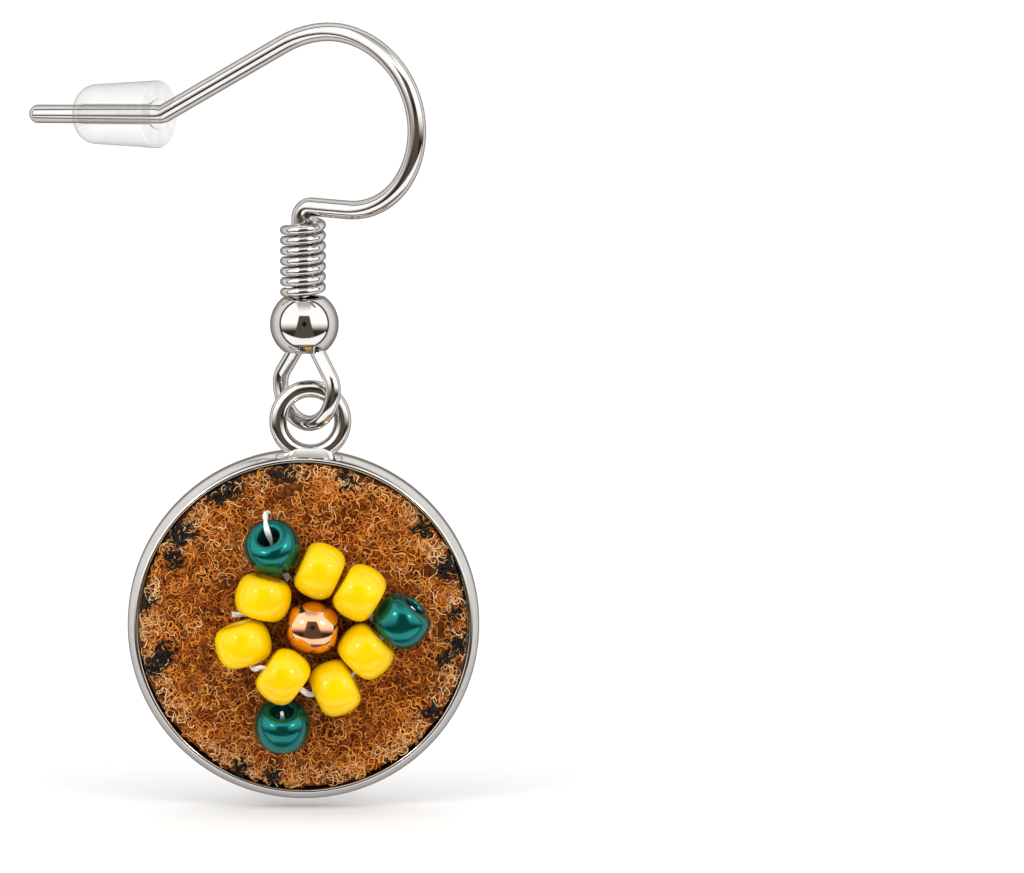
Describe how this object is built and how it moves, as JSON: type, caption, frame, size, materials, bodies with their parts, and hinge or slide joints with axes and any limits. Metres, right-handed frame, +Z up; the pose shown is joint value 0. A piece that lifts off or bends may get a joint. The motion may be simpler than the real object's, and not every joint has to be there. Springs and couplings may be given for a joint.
{
  "type": "beaded hook earring",
  "caption": "Hook earring with a clear tube stopper, a coil and a ball, and a round steel tray filled with felt that carries a sewn flower of glass beads.",
  "frame": {"origin": "middle of the wire at the top of the arch, where the wire rests in the ear", "axes": "+Z up, +X to the right of the flower as it is seen from the front, +Y to the back; the flower faces -Y"},
  "size_m": [0.0193, 0.0111, 0.0335],
  "materials": {
    "steel": "polished",
    "clear_plastic": "clear",
    "felt": "fibrous",
    "yellow_glass": "gloss",
    "teal_glass": "gloss",
    "copper_glass": "metallic gloss",
    "thread": "twisted"
  },
  "bodies": {
    "hook": {"ear_hook": "steel", "hook_coil": "steel", "hook_ball": "steel"},
    "stopper": {"ear_stopper": "clear_plastic"},
    "pendant": {"bezel_cup": "steel", "felt_disc": "felt", "yellow_bead_1": "yellow_glass", "yellow_bead_2": "yellow_glass", "yellow_bead_3": "yellow_glass", "yellow_bead_4": "yellow_glass", "yellow_bead_5": "yellow_glass", "yellow_bead_6": "yellow_glass", "yellow_bead_7": "yellow_glass", "teal_bead_1": "teal_glass", "teal_bead_2": "teal_glass", "teal_bead_3": "teal_glass", "copper_bead": "copper_glass", "bead_thread": "thread"}
  },
  "joints": [
    {"name": "stopper_slide", "type": "slide", "parent": "hook", "child": "stopper", "axis": [-0.846, 0.5286, -0.0698], "range_m": [0, 0.0066]},
    {"name": "pendant_swing", "type": "hinge", "parent": "hook", "child": "pendant", "pos_m": [-0.0011, 0.00089, -0.01624], "axis": [1, 0, 0], "range_deg": [-28, 28]}
  ]
}
